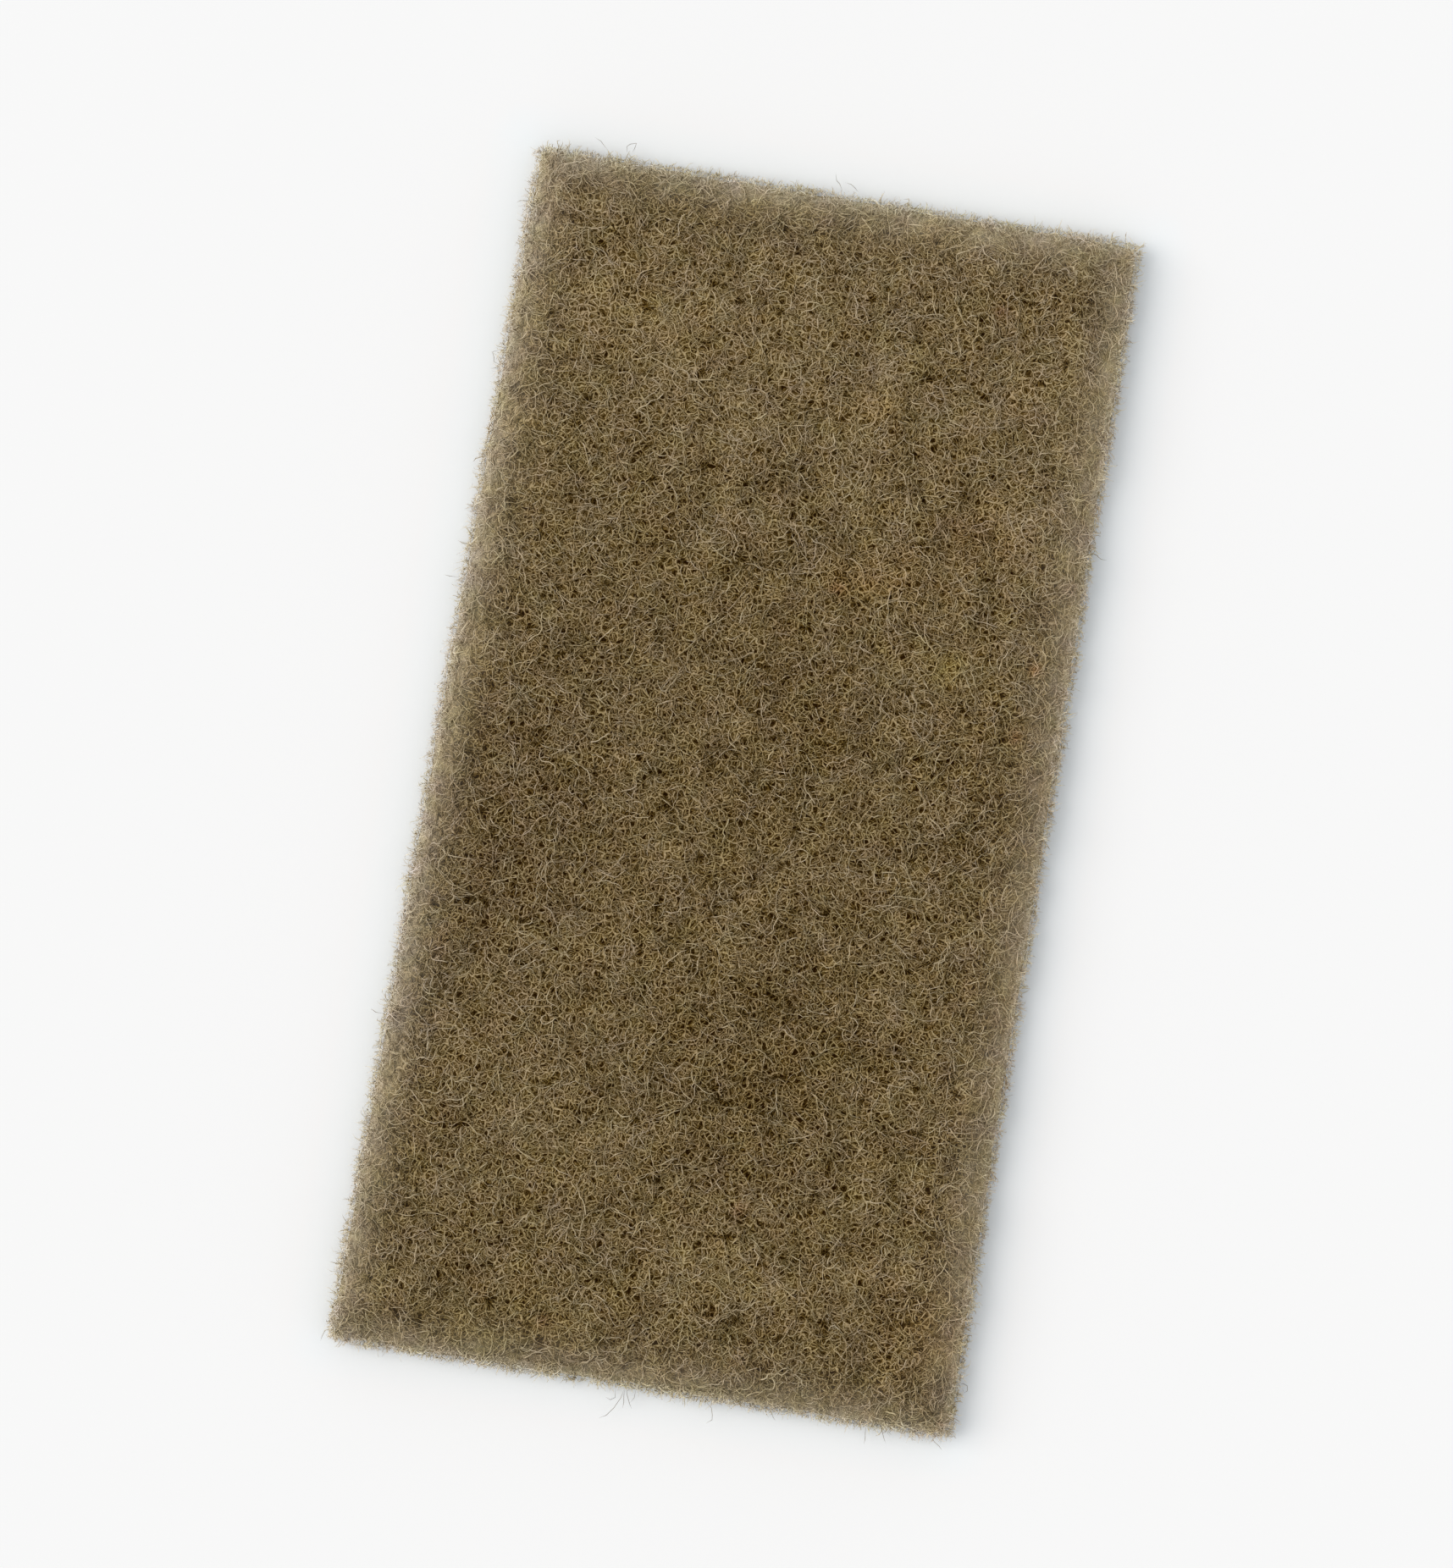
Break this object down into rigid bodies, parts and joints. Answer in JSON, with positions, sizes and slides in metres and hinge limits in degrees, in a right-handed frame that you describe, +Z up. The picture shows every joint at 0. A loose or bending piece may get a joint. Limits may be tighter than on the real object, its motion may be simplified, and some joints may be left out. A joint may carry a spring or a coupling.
{
  "type": "abrasive pad",
  "caption": "Rectangular hand pad of lofty non-woven abrasive web, brown, with rounded cut edges and a flat face to lie on.",
  "frame": {"origin": "centre of the pad's outline, on the flat face that it lies on", "axes": "+Y along the long side towards the slightly narrower end, +X across the pad, +Z up through its thickness"},
  "size_m": [0.1204, 0.2305, 0.009],
  "materials": {
    "web": "matte open web of curly nylon fibres with resin and fine abrasive grain, brown"
  },
  "bodies": {
    "root": {"abrasive_pad": "web"}
  },
  "joints": []
}
